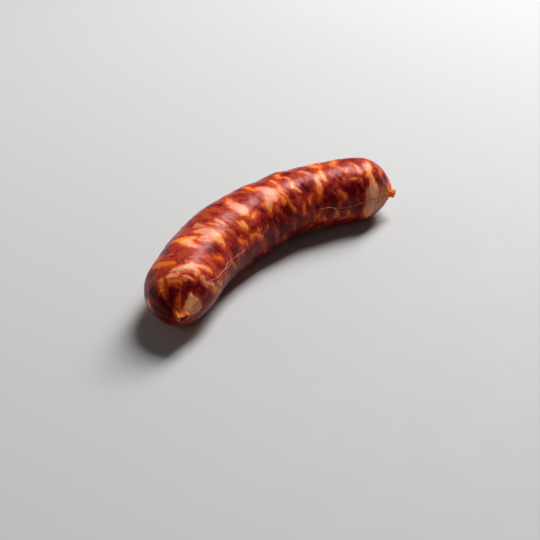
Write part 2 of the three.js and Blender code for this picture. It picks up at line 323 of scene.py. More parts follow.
# The camera, solved from the photograph: where it stands and how it is turned.
CAMERA_PLACE = (-419.231, -388.162, 387.449)
CAMERA_PITCH = 34.846  # degrees below the horizon
CAMERA_HEADING = 42.203  # degrees from +X towards +Y
CAMERA_ROLL = 0.4827
CAMERA_LENS = 71.253
SENSOR_WIDTH = 36.0


def clamp01(value):
    return np.clip(value, 0.0, 1.0)


def smoothstep(low, high, value):
    share = clamp01((value - low) / (high - low))
    return share * share * (3 - 2 * share)


# ---------------------------------------------------------------------------------------------
# Form of the link. Angles are radians, lengths millimetres, and every value may be an array.


def heading(along):
    turn = 1 - 2 * clamp01(along / LINK_LENGTH)
    hook = np.where(turn > 0, NEAR_HOOK, FAR_HOOK)
    return np.radians(END_TURN * turn + hook * turn**HOOK_POWER)


def half_thickness(along):
    t = clamp01(along / LINK_LENGTH)
    a, b, c, d = HALF_THICKNESS
    return a * (1 - t) ** 3 + 3 * b * t * (1 - t) ** 2 + 3 * c * t**2 * (1 - t) + d * t**3


def taper_share(from_pole, end):
    rest = clamp01(1 - from_pole / end["taper"])
    return (1 - rest ** end["shoulder"]) ** (1 / end["bluntness"])


def knot_radius(from_pole, end):
    past = clamp01(-from_pole / end["knot_length"])
    blunt = np.sqrt(np.maximum(0.0, 1 - past**KNOT_BLUNTNESS))
    return end["knot_radius"] * (1 + end["knot_flare"] * past) * blunt


def knot_blend(from_pole, end):
    share = clamp01(knot_radius(from_pole, end) / end["knot_radius"])
    return np.maximum(end["knot_blend"] * share, 1e-9)


def by_end(along, rule):
    """Uses a rule of distance and end on whichever end each place is nearer to."""
    near = along < LINK_LENGTH / 2
    return np.where(near, rule(along, NEAR_END), rule(LINK_LENGTH - along, FAR_END))


def plain_radius(along):
    tapers = taper_share(along, NEAR_END) * taper_share(LINK_LENGTH - along, FAR_END)
    body = half_thickness(along) * tapers
    knot = by_end(along, knot_radius)
    blend = by_end(along, knot_blend)
    h = np.maximum(blend - np.abs(body - knot), 0) / blend
    return np.maximum(body, knot) + h * h * blend / 4


def axis_height(along):
    near = clamp01(1 - along / NEAR_END["taper"]) ** 2 * NEAR_END["droop"]
    far = clamp01(1 - (LINK_LENGTH - along) / FAR_END["taper"]) ** 2 * FAR_END["droop"]
    return half_thickness(along) - REST_SINK - near - far


def drifted(around):
    return around + sum(size * np.sin(waves * around + phase) for waves, size, phase in PLEAT_DRIFT)


def pleat_relief(from_pole, around, radius, end):
    spread = PLEAT_REACH_SPREAD * (1 - np.sin(3 * around + end["pleat_phase"]))
    reach = end["pleat_reach"] * (1 - spread)
    fade = clamp01(1 - np.maximum(from_pole, 0) / reach) ** PLEAT_FADE
    turned = end["twist"] * clamp01(1 - from_pole / end["knot_length"])
    ridge = np.abs(np.sin(end["pleats"] * drifted(around) / 2 + end["pleat_phase"] + turned))
    depth = np.minimum(end["pleat_depth"], PLEAT_SHARE * radius)
    return depth * fade * (ridge**PLEAT_ROUNDNESS - PLEAT_LEVEL)


def fine_pleat_relief(from_pole, around, end):
    fade = clamp01(1 - from_pole / FINE_REACH) * smoothstep(-1.0, 3.0, from_pole)
    wave = np.abs(np.sin(end["fine_pleats"] * (around + 0.5 * drifted(2 * around)) / 2))
    return end["fine_depth"] * fade * (wave - 0.6)


def lump_relief(along, around):
    height = 0.0
    length = LUMP_LONGEST
    for wave in range(1, LUMP_WAVES + 1):
        turns = (wave * LUMP_STRIDE) % (2 * LUMP_TURNS + 1) - LUMP_TURNS
        angle = 2 * math.pi * along / length + turns * around + wave * GOLDEN_ANGLE
        height = height + np.sin(angle) * (length / LUMP_LONGEST)
        length *= LUMP_SHRINK
    return LUMP_HEIGHT * height


def swell_relief(along, around):
    height = 0.0
    for place, turn, rise, reach in SWELLS:
        across = wrapped(around - math.radians(turn)) * half_thickness(along)
        height = height + rise * np.exp(-((along - place) ** 2 + across**2) / reach**2)
    return height


def skin_radius(along, around):
    """The solid's own radius."""
    radius = plain_radius(along)
    body_share = by_end(along, lambda from_pole, end: clamp01(from_pole / end["taper"]))
    relief = (lump_relief(along, around) + swell_relief(along, around)) * body_share
    pleats = by_end(along, lambda from_pole, end: pleat_relief(from_pole, around, radius, end))
    return radius + relief + pleats


def detailed_radius(along, around):
    """The radius with the finer pleats and with the knots pressed oval."""
    fine = by_end(along, lambda from_pole, end: fine_pleat_relief(from_pole, around, end))
    oval = by_end(
        along,
        lambda from_pole, end: end["knot_oval"] * (1 - smoothstep(0, OVAL_REACH, from_pole)),
    )
    lips = by_end(
        along,
        lambda from_pole, end: end["knot_lips"] * (1 - smoothstep(-2, OVAL_REACH, from_pole)),
    )
    pressed = 1 + oval * np.cos(2 * around) + lips * np.sin(LIP_WAVES * drifted(around))
    return skin_radius(along, around) * pressed + fine


def wrapped(angle):
    """An angle brought into the half turn either side of 0."""
    return np.arctan2(np.sin(angle), np.cos(angle))


def walk_axis():
    """The axis in plan, as arc position, x and y."""
    first = -NEAR_END["knot_length"]
    last = LINK_LENGTH + FAR_END["knot_length"]
    along = np.linspace(first, last, AXIS_STEPS + 1)
    step = along[1] - along[0]
    middle = heading(along[1:] - step / 2)
    x = np.concatenate([[0.0], np.cumsum(np.cos(middle) * step)])
    y = np.concatenate([[0.0], np.cumsum(np.sin(middle) * step)])
    return along, x, y


def skin_points(along, around, axis, radius_rule):
    """Points of the bent link, in millimetres."""
    walk, x, y = axis
    radius = radius_rule(along, around)
    turn = heading(along)
    sideways = np.cos(around) * radius
    return np.stack(
        [
            np.interp(along, walk, x) - np.sin(turn) * sideways,
            np.interp(along, walk, y) + np.cos(turn) * sideways,
            np.maximum(axis_height(along) + np.sin(around) * radius, 0.0),
        ],
        axis=-1,
    )


def centred_axis():
    """The axis moved so that the link lies where its solid lies."""
    along, x, y = walk_axis()
    ring = np.linspace(0, 2 * math.pi, AROUND, endpoint=False)
    points = skin_points(along[::8, None], ring[None, :], (along, x, y), skin_radius)
    low, high = points.reshape(-1, 3).min(0), points.reshape(-1, 3).max(0)
    solid_low, solid_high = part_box("sausage")
    wanted = (solid_low + solid_high) / 2 / MM
    return along, x + wanted.x - (low[0] + high[0]) / 2, y + wanted.y - (low[1] + high[1]) / 2


AXIS = centred_axis()


# ---------------------------------------------------------------------------------------------
# The casing as rings, before it is bent.


def place_rings():
    """Where each ring lies along the axis, its distance along the skin, and its share of the
    rim's radius, which is 1 except inside the two hollows."""
    first = -NEAR_END["knot_length"] * KNOT_RIM
    last = LINK_LENGTH + FAR_END["knot_length"] * KNOT_RIM
    along = np.linspace(first, last, SKIN_SAMPLES)
    step = np.hypot(np.diff(along), np.diff(plain_radius(along)))
    from_pole = np.minimum(along, LINK_LENGTH - along)[1:]
    density = np.where(from_pole < DENSE_REACH, END_DENSITY, 1.0)
    counted = np.concatenate([[0.0], np.cumsum(step * density)])
    skin = np.concatenate([[0.0], np.cumsum(step)])
    wanted = np.linspace(0, counted[-1], RINGS)
    along_ring = np.interp(wanted, counted, along)
    skin_ring = np.interp(wanted, counted, skin)
    depth = np.linspace(0, 1, CUP_RINGS + 1)[1:]
    share = 1 - depth * 0.94
    dip = np.sqrt(1 - share**2)
    near_cup = along_ring[0] + NEAR_END["cup_depth"] * dip
    far_cup = along_ring[-1] - FAR_END["cup_depth"] * dip
    return (
        np.concatenate([near_cup[::-1], along_ring, far_cup]),
        np.concatenate([skin_ring[0] - dip[::-1], skin_ring, skin_ring[-1] + dip]),
        np.concatenate([share[::-1], np.ones(RINGS), share]),
    )


def chain_distance(skin, around, radius, points):
    """How far each place on the skin is from a chain of points, and the beads' half width
    there. A point is along, around in degrees and, for a bead, its half width."""
    nearest = np.full(skin.shape, 1e9)
    width = np.zeros(skin.shape)
    for start, finish in zip(points[:-1], points[1:]):
        run = skin_at(finish[0]) - skin_at(start[0])
        turn = math.radians(finish[1] - start[1]) * radius
        dx = skin - skin_at(start[0])
        dy = wrapped(around - math.radians(start[1])) * radius
        share = clamp01((dx * run + dy * turn) / np.maximum(run**2 + turn**2, 1e-6))
        distance = np.hypot(dx - share * run, dy - share * turn)
        if len(start) > 2:
            here = start[2] + (finish[2] - start[2]) * share
        else:
            here = np.zeros(skin.shape)
        closer = distance - here < nearest - width
        nearest = np.where(closer, distance, nearest)
        width = np.where(closer, here, width)
    return nearest, width


def skin_at(along):
    """Distance along the skin of a place given along the axis."""
    return float(np.interp(along, *SKIN_SCALE))


def measure_skin():
    along = np.linspace(-NEAR_END["knot_length"], LINK_LENGTH + FAR_END["knot_length"], SKIN_SAMPLES)
    step = np.hypot(np.diff(along), np.diff(plain_radius(along)))
    skin = np.concatenate([[0.0], np.cumsum(step)])
    first = -NEAR_END["knot_length"] * KNOT_RIM
    return along, skin - np.interp(first, along, skin)


SKIN_SCALE = measure_skin()


def fold_relief(skin, around, radius):
    height = np.zeros(skin.shape)
    for rise, width, *points in FOLDS:
        distance, _ = chain_distance(skin, around, radius, points)
        height += rise * np.exp(-((distance / width) ** 2)) * clamp01(radius / 5.0)
    return height


def scattered_fat(seed):
    """The fat that isn't listed in FAT_PIECES, as looks and beads."""
    draw = np.random.default_rng(seed)
    placed = []
    pieces = []
    tries = 0
    while len(placed) < HIDDEN_PIECES and tries < 4000:
        tries += 1
        along = draw.uniform(*SCATTER_ENDS)
        around = draw.uniform(HIDDEN_FROM, HIDDEN_TO)
        radius = float(half_thickness(along))
        gaps = [math.hypot(along - a, math.radians(around - b) * radius) for a, b in placed]
        if gaps and min(gaps) < HIDDEN_GAP:
            continue
        placed.append((along, around))
        pieces.append(
            scattered_piece(draw, along, around, HIDDEN_LENGTH, HIDDEN_WIDTH, HIDDEN_LOOKS)
        )
    for _ in range(FLECKS):
        along = draw.uniform(*SCATTER_ENDS)
        around = draw.uniform(0, 360)
        pieces.append(
            scattered_piece(draw, along, around, FLECK_LENGTH, FLECK_WIDTH, FLECK_LOOKS)
        )
    return pieces


def scattered_piece(draw, along, around, lengths, widths, looks):
    """One piece of fat of three beads, which lies across the link within the usual tilt."""
    length = draw.uniform(*lengths)
    width = draw.uniform(*widths)
    tilt = math.radians(draw.uniform(-HIDDEN_TILT, HIDDEN_TILT))
    bow = draw.uniform(-0.2, 0.2) * length
    radius = float(half_thickness(along))
    look = looks[draw.integers(len(looks))]
    beads = []
    for share, size in ((-0.5, 0.55), (0.0, 1.0), (0.5, 0.6)):
        across = share * length
        here = along + across * math.sin(tilt) + bow * (1 - abs(2 * share))
        turn = around + math.degrees(across * math.cos(tilt) / radius)
        beads.append((here, turn, width * size))
    return (look, *beads)


def noise_field(straight, size):
    """Smooth vector noise with features of that size, one vector for each place."""
    return np.array([noise.noise_vector(Vector(place)) for place in straight / size])


def paint_fat(skin, around, radius, straight, seed):
    """Signed distance to the nearest fat, above 0 inside it, and the fat's blended look."""
    noise.seed_set(seed)
    warp = sum(strength * noise_field(straight, size)[:, :2] for size, strength in WARP_STEPS)
    skin = skin + warp[:, 0]
    around = around + warp[:, 1] / np.maximum(radius, 1.0)
    fat = np.full(skin.shape, -4.0)
    weight = np.full(skin.shape, 1e-6)
    look = np.zeros((len(skin), 5))
    for name, *beads in (*FAT_PIECES, *scattered_fat(seed)):
        distance, width = chain_distance(skin, around, radius, beads)
        inside = width * FAT_SPREAD - distance
        share = np.exp(np.clip(inside, -6, 3) / BLEND_SOFTNESS)
        look += share[:, None] * np.array(FAT_LOOKS[name])
        weight += share
        fat = np.maximum(fat, inside)
    return fat, look / weight[:, None]


def paint_patches(skin, around, radius, patches):
    """Sum of soft round patches, each along, around, reach and strength."""
    total = np.zeros(skin.shape)
    for along, turn, reach, strength in patches:
        across = wrapped(around - math.radians(turn)) * radius
        distance = np.hypot(skin - skin_at(along), across)
        total += strength * np.exp(-((distance / reach) ** 2))
    return total


def straight_casing(seed):
    """The casing as a straight tube along X, closed at both hollows, with what the bend and
    the material read stored on its points."""
    ring_along, ring_skin, ring_share = place_rings()
    ring = np.linspace(0, 2 * math.pi, AROUND, endpoint=False)
    rim_along = np.clip(ring_along, ring_along[CUP_RINGS], ring_along[-1 - CUP_RINGS])
    rim_along[:CUP_RINGS] = ring_along[CUP_RINGS]
    rim_along[len(rim_along) - CUP_RINGS:] = ring_along[-1 - CUP_RINGS]
    along = np.repeat(ring_along, AROUND)
    skin = np.repeat(ring_skin, AROUND)
    share = np.repeat(ring_share, AROUND)
    rim = np.repeat(rim_along, AROUND)
    around = np.tile(ring, len(ring_along))
    plain = np.maximum(plain_radius(rim), 0.3)
    reach = detailed_radius(rim, around) + fold_relief(skin, around, plain)
    reach *= share
    straight = np.stack([along, np.cos(around) * plain, np.sin(around) * plain], axis=-1)
    fat, look = paint_fat(skin, around, plain, straight, seed)
    reach += FAT_BULGE * smoothstep(-0.3, 1.6, fat) * smoothstep(3, 9, plain)
    fold = np.abs(fold_relief(skin, around, plain))
    # Meat tone, with a painted highlight along the lit band and painted shade along the underside.
    tone_and_light = paint_patches(skin, around, plain, MEAT_TONES_AND_LIGHT)
    bare = clamp01(paint_patches(skin, around, plain, BARE_CASING))
    # Painted shade in the pleats' valleys and inside the knots' hollows.
    crease_shade = crease_shade_mask(rim, around, share)

    points = np.stack([along, np.cos(around) * reach, np.sin(around) * reach], axis=-1)
    tips = [(ring_along[0], 0.0, 0.0), (ring_along[-1], 0.0, 0.0)]
    points = np.concatenate([points, tips])
    faces = tube_faces(len(ring_along))
    mesh = bpy.data.meshes.new("straight_casing")
    mesh.from_pydata((points * MM).tolist(), [], faces)
    first, last = slice(0, 1), slice(-1, None)
    for name, values in (
        ("lift", axis_height(along) * MM),
        ("fat", fat),
        ("tone_and_light", tone_and_light),
        ("bare", bare),
        ("crease_shade", crease_shade),
        ("fold", fold),
    ):
        values = np.concatenate([values, values[first], values[last]])
        store(mesh, name, "FLOAT", "value", values)
    straight = np.concatenate([straight, tips])
    store(mesh, "straight", "FLOAT_VECTOR", "vector", straight)
    look = np.concatenate([look, look[first], look[last]])
    store(mesh, "fat_look", "FLOAT_COLOR", "color", look[:, :4])
    store(mesh, "stain", "FLOAT", "value", look[:, 4])
    return mesh


def crease_shade_mask(along, around, share):
    """Painted shade where the casing is pinched: the pleats' valleys near the knots, and the hollows."""

    def valleys(from_pole, end):
        relief = pleat_relief(from_pole, around, 20.0, end) / end["pleat_depth"]
        return smoothstep(0.2, 0.7, -relief) * (1 - smoothstep(2, 12, from_pole))

    depth = smoothstep(0.95, 0.5, share) * np.where(along < LINK_LENGTH / 2, 0.7, 0.2)
    return np.maximum(clamp01(by_end(along, valleys)), depth)


def store(mesh, name, kind, field, values):
    attribute = mesh.attributes.new(name, kind, "POINT")
    attribute.data.foreach_set(field, np.asarray(values, np.float32).ravel())


def tube_faces(rings):
    """Quads between the rings and a fan of triangles at each tip, facing outwards."""
    faces = []
    for ring in range(rings - 1):
        for i in range(AROUND):
            a = ring * AROUND + i
            b = ring * AROUND + (i + 1) % AROUND
            faces.append((a, b, b + AROUND, a + AROUND))
    near_tip = rings * AROUND
    last = (rings - 1) * AROUND
    for i in range(AROUND):
        after = (i + 1) % AROUND
        faces.append((near_tip, after, i))
        faces.append((near_tip + 1, last + i, last + after))
    return faces


# ---------------------------------------------------------------------------------------------
# Node trees.


class Tree:
    """Adds nodes to one tree, so that a graph reads as nested calls. A value that is a socket
    is linked, and any other value is set."""

    def __init__(self, tree):
        self.tree = tree

    def add(self, kind, values=None, out=0, **settings):
        node = self.tree.nodes.new(kind)
        for name, value in settings.items():
            setattr(node, name, value)
        for key, value in (values or {}).items():
            if isinstance(value, bpy.types.NodeSocket):
                self.tree.links.new(value, node.inputs[key])
            else:
                node.inputs[key].default_value = value
        return node.outputs[out]

    def math(self, operation, *values, clamp=False):
        inputs = dict(enumerate(values))
        return self.add("ShaderNodeMath", inputs, operation=operation, use_clamp=clamp)

    def vector(self, operation, *values, out=0):
        return self.add("ShaderNodeVectorMath", dict(enumerate(values)), out, operation=operation)

    def scaled(self, vector, factor):
        return self.add("ShaderNodeVectorMath", {0: vector, "Scale": factor}, operation="SCALE")

    def noise(self, vector, scale, detail=2.0, roughness=0.5, distortion=0.0, **settings):
        values = {
            "Vector": vector, "Scale": scale, "Detail": detail,
            "Roughness": roughness, "Distortion": distortion,
        }
        return self.add("ShaderNodeTexNoise", values, **settings)

    def fade(self, value, low, high, to_low=0.0, to_high=1.0):
        values = {"Value": value, 1: low, 2: high, 3: to_low, 4: to_high}
        return self.add("ShaderNodeMapRange", values, interpolation_type="SMOOTHSTEP")

    def mix(self, share, a, b, **settings):
        return self.add("ShaderNodeMix", {0: share, 6: a, 7: b}, 2, data_type="RGBA", **settings)

    def parts(self, vector):
        node = self.tree.nodes.new("ShaderNodeSeparateXYZ")
        self.tree.links.new(vector, node.inputs[0])
        return node.outputs


def new_group(name, kind, inputs, outputs):
    """A node group with its sockets, each (name, socket kind, default). Returns the group, its
    wrapper and its input sockets."""
    group = bpy.data.node_groups.new(name, kind)
    for title, socket_kind, default in inputs:
        socket = group.interface.new_socket(title, in_out="INPUT", socket_type=socket_kind)
        if default is not None:
            socket.default_value = default
    for title, socket_kind in outputs:
        group.interface.new_socket(title, in_out="OUTPUT", socket_type=socket_kind)
    tree = Tree(group)
    sockets = group.nodes.new("NodeGroupInput").outputs
    return group, tree, sockets


def close_group(group, **results):
    """Links a group's results to its outputs, by name with spaces as underscores."""
    node = group.nodes.new("NodeGroupOutput")
    for title, socket in results.items():
        group.links.new(socket, node.inputs[title.replace("_", " ")])


def finished_mesh(source, group, settings, name):
    """Runs a geometry tree on an object and returns the result as a plain object."""
    modifier = source.modifiers.new(group.name, "NODES")
    modifier.node_group = group
    for item in group.interface.items_tree:
        if item.in_out == "INPUT" and item.name in settings:
            modifier[item.identifier] = settings[item.name]
    source.update_tag()
    bpy.context.view_layer.update()
    graph = bpy.context.evaluated_depsgraph_get()
    mesh = bpy.data.meshes.new_from_object(source.evaluated_get(graph), depsgraph=graph)
    mesh.name = name
    source.modifiers.remove(modifier)
    remove_object(source)
    piece = bpy.data.objects.new(name, mesh)
    bpy.context.scene.collection.objects.link(piece)
    return piece


def remove_object(item):
    mesh = item.data
    bpy.data.objects.remove(item)
    if mesh.users == 0:
        bpy.data.meshes.remove(mesh)


def linked(name, mesh):
    item = bpy.data.objects.new(name, mesh)
    bpy.context.scene.collection.objects.link(item)
    return item


def bend_tree():
    """Geometry nodes that wrinkle the straight casing and bend it round the link's axis."""
    group, tree, given = new_group(
        "bend_casing",
        "GeometryNodeTree",
        (
            ("Casing", "NodeSocketGeometry", None),
            ("Axis", "NodeSocketObject", None),
            ("Axis Start", "NodeSocketFloat", 0.0),
            ("Wrinkle Height", "NodeSocketFloat", 0.0001),
            ("Wrinkle Spacing", "NodeSocketFloat", 0.004),
            ("Crinkle Height", "NodeSocketFloat", 0.00004),
            ("Crinkle Spacing", "NodeSocketFloat", 0.002),
            ("Swirl", "NodeSocketFloat", 0.012),
            ("Swirl Size", "NodeSocketFloat", 0.022),
            ("Stretch Around", "NodeSocketFloat", 4.0),
            ("Material", "NodeSocketMaterial", None),
        ),
        (("Link", "NodeSocketGeometry"),),
    )
    place = tree.add("GeometryNodeInputPosition")
    x, y, z = tree.parts(place)
    outwards = tree.add("ShaderNodeCombineXYZ", {"Y": y, "Z": z})
    reach = tree.vector("LENGTH", outwards, out=1)
    squeeze = tree.math("DIVIDE", 1.0, given["Stretch Around"])
    narrow = tree.add("ShaderNodeCombineXYZ", {"X": 1.0, "Y": squeeze, "Z": squeeze})
    straight = tree.vector("MULTIPLY", place, narrow)
    wave = tree.noise(straight, tree.math("DIVIDE", 1.0, given["Wrinkle Spacing"]), 2.0, 0.55, 1.1)
    wrinkle = tree.math("MULTIPLY_ADD", wave, 2.0, -1.0)
    swirl = tree.noise(place, tree.math("DIVIDE", 1.0, given["Swirl Size"]), 1.0)
    slant = tree.math("MULTIPLY", tree.math("MULTIPLY_ADD", swirl, 2.0, -1.0), given["Swirl"])
    slanted = tree.vector("ADD", straight, tree.add("ShaderNodeCombineXYZ", {"X": slant}))
    line = tree.noise(slanted, tree.math("DIVIDE", 1.0, given["Crinkle Spacing"]), 1.0, 0.5, 0.3)
    ridge = tree.math("ABSOLUTE", tree.math("MULTIPLY_ADD", line, 5.0, -2.5))
    crinkle = tree.math("SUBTRACT", 0.5, tree.math("MINIMUM", ridge, 1.0))
    height = tree.math("MULTIPLY", wrinkle, given["Wrinkle Height"])
    top_share = tree.fade(z, 0.0, 12.0 * MM, 0.35, 1.0)
    drawn = tree.math("MULTIPLY", given["Crinkle Height"], top_share)
    height = tree.math("MULTIPLY_ADD", crinkle, drawn, height)
    calm = tree.fade(reach, 3.0 * MM, 12.0 * MM)
    growth = tree.math("DIVIDE", tree.math("MULTIPLY", height, calm), tree.math("MAXIMUM", reach, MM))
    grown = tree.scaled(outwards, tree.math("ADD", growth, 1.0))
    _, grown_y, grown_z = tree.parts(grown)

    axis = tree.add("GeometryNodeObjectInfo", {0: given["Axis"]}, out="Geometry")
    curve = tree.add("GeometryNodeMeshToCurve", {"Mesh": axis})
    sample = group.nodes.new("GeometryNodeSampleCurve")
    sample.mode = "LENGTH"
    sample.use_all_curves = True
    group.links.new(curve, sample.inputs["Curves"])
    length = tree.math("SUBTRACT", x, given["Axis Start"])
    group.links.new(length, sample.inputs["Length"])
    side = tree.vector("NORMALIZE", tree.vector("CROSS_PRODUCT", UP, sample.outputs["Tangent"]))
    lift = tree.add("GeometryNodeInputNamedAttribute", {"Name": "lift"}, data_type="FLOAT")
    raised = tree.add("ShaderNodeCombineXYZ", {"Z": tree.math("ADD", grown_z, lift)})
    across = tree.vector("ADD", sample.outputs["Position"], tree.scaled(side, grown_y))
    bent = tree.vector("MAXIMUM", tree.vector("ADD", across, raised), (-1.0, -1.0, 0.0))
    moved = tree.add("GeometryNodeSetPosition", {"Geometry": given["Casing"], "Position": bent})
    close_group(group, Link=finished(tree, moved, given["Material"]))
    return group


def finished(tree, geometry, material):
    """The last steps of every geometry tree."""
    smooth = tree.add("GeometryNodeSetShadeSmooth", {"Geometry": geometry, "Shade Smooth": True})
    real = tree.add("GeometryNodeRealizeInstances", {"Geometry": smooth})
    return tree.add("GeometryNodeSetMaterial", {"Geometry": real, "Material": material})


def strand_tree():
    """Geometry nodes that lay thin strands on the casing along drawn paths."""
    group, tree, given = new_group(
        "lay_strands",
        "GeometryNodeTree",
        (
            ("Paths", "NodeSocketGeometry", None),
            ("Casing", "NodeSocketObject", None),
            ("Spacing", "NodeSocketFloat", 0.0007),
            ("Wander", "NodeSocketFloat", 0.0007),
            ("Wander Size", "NodeSocketFloat", 0.005),
            ("Sink", "NodeSocketFloat", 0.35),
            ("Sides", "NodeSocketInt", 8),
            ("Material", "NodeSocketMaterial", None),
        ),
        (("Strands", "NodeSocketGeometry"),),
    )
    curve = tree.add("GeometryNodeMeshToCurve", {"Mesh": given["Paths"]})
    smooth = tree.add("GeometryNodeResampleCurve", {"Curve": curve, "Length": given["Spacing"]}, mode="LENGTH")
    place = tree.add("GeometryNodeInputPosition")
    scale = tree.math("DIVIDE", 1.0, given["Wander Size"])
    drift = tree.add("ShaderNodeTexNoise", {"Vector": place, "Scale": scale, "Detail": 2.0}, out="Color")
    push = tree.scaled(tree.vector("SUBTRACT", drift, (0.5, 0.5, 0.5)), tree.math("MULTIPLY", given["Wander"], 2.0))
    wandered = tree.add("GeometryNodeSetPosition", {"Geometry": smooth, "Offset": push})
    casing = tree.add("GeometryNodeObjectInfo", {0: given["Casing"]}, out="Geometry")
    width = tree.add("GeometryNodeInputNamedAttribute", {"Name": "half_width"}, data_type="FLOAT")
    end = tree.add("GeometryNodeSplineParameter", out="Factor")
    from_end = tree.math("MINIMUM", end, tree.math("SUBTRACT", 1.0, end))
    taper = tree.fade(from_end, 0.0, 0.16, 0.25, 1.0)
    uneven = tree.fade(tree.noise(place, 900.0, 1.0), 0.3, 0.7, 0.6, 1.25)
    radius = tree.math("MULTIPLY", tree.math("MULTIPLY", width, taper), uneven)
    near = group.nodes.new("GeometryNodeSampleNearestSurface")
    near.data_type = "FLOAT_VECTOR"
    group.links.new(casing, near.inputs["Mesh"])
    group.links.new(tree.add("GeometryNodeInputNormal"), near.inputs["Value"])
    touch = group.nodes.new("GeometryNodeProximity")
    group.links.new(casing, touch.inputs[0])
    out_by = tree.math("MULTIPLY", radius, tree.math("SUBTRACT", 1.0, given["Sink"]))
    on_skin = tree.vector("ADD", touch.outputs["Position"], tree.scaled(near.outputs["Value"], out_by))
    laid = tree.add("GeometryNodeSetPosition", {"Geometry": wandered, "Position": on_skin})
    section = tree.add("GeometryNodeCurvePrimitiveCircle", {"Resolution": given["Sides"], "Radius": 1.0})
    tube = tree.add(
        "GeometryNodeCurveToMesh",
        {"Curve": laid, "Profile Curve": section, "Scale": radius, "Fill Caps": True},
    )
    close_group(group, Strands=finished(tree, tube, given["Material"]))
    return group


# ---------------------------------------------------------------------------------------------
# Materials.


def mottle_group():
    """Soft uneven variation between two values, shared by every finish."""
    group, tree, given = new_group(
        "mottle",
        "ShaderNodeTree",
        (
            ("Vector", "NodeSocketVector", None),
            ("Scale", "NodeSocketFloat", 1.0),
            ("Low", "NodeSocketFloat", 0.0),
            ("High", "NodeSocketFloat", 1.0),
        ),
        (("Value", "NodeSocketFloat"),),
    )
    cloud = tree.noise(given["Vector"], given["Scale"], 3.0, 0.55, 0.4)
    close_group(group, Value=tree.fade(cloud, 0.3, 0.7, given["Low"], given["High"]))
    return group


def crinkle_group():
    """Fine transverse crinkles of dried casing as a height, shared by casing and strands."""
    group, tree, given = new_group(
        "casing_crinkle",
        "ShaderNodeTree",
        (
            ("Vector", "NodeSocketVector", None),
            ("Spacing", "NodeSocketFloat", 1.6),
            ("Stretch", "NodeSocketFloat", 3.0),
        ),
        (("Height", "NodeSocketFloat"), ("Streaks", "NodeSocketFloat")),
    )
    squeeze = tree.math("DIVIDE", 1.0, given["Stretch"])
    narrow = tree.add("ShaderNodeCombineXYZ", {"X": 1.0, "Y": squeeze, "Z": squeeze})
    stretched = tree.vector("MULTIPLY", given["Vector"], narrow)
    scale = tree.math("DIVIDE", 1.0, given["Spacing"])
    coarse = tree.noise(stretched, scale, 3.0, 0.6, 1.6)
    ridge = tree.math("SUBTRACT", 1.0, tree.math("ABSOLUTE", tree.math("MULTIPLY_ADD", coarse, 4.0, -2.0)))
    streaks = tree.fade(ridge, 0.45, 0.95)
    close_group(group, Height=ridge, Streaks=streaks)
    return group


def use_group(tree, group, values, out=0):
    node = tree.tree.nodes.new("ShaderNodeGroup")
    node.node_tree = group
    for key, value in values.items():
        if isinstance(value, bpy.types.NodeSocket):
            tree.tree.links.new(value, node.inputs[key])
        else:
            node.inputs[key].default_value = value
    return node.outputs[out]


def named_group(name, maker):
    return bpy.data.node_groups.get(name) or maker()


def new_material(name, **constants):
    """A material with one Principled shader whose constant values are set on it."""
    material = bpy.data.materials.new(name)
    material.use_nodes = True
    tree = Tree(material.node_tree)
    shader = material.node_tree.nodes["Principled BSDF"]
    for key, value in constants.items():
        shader.inputs[key.replace("_", " ")].default_value = value
    return material, tree, shader


def feed(tree, shader, **sockets):
    for key, socket in sockets.items():
        tree.tree.links.new(socket, shader.inputs[key.replace("_", " ")])


def rgba(colour):
    return (*colour, 1.0)


def read(tree, name, out):
    return tree.add("ShaderNodeAttribute", out=out, attribute_name=name)


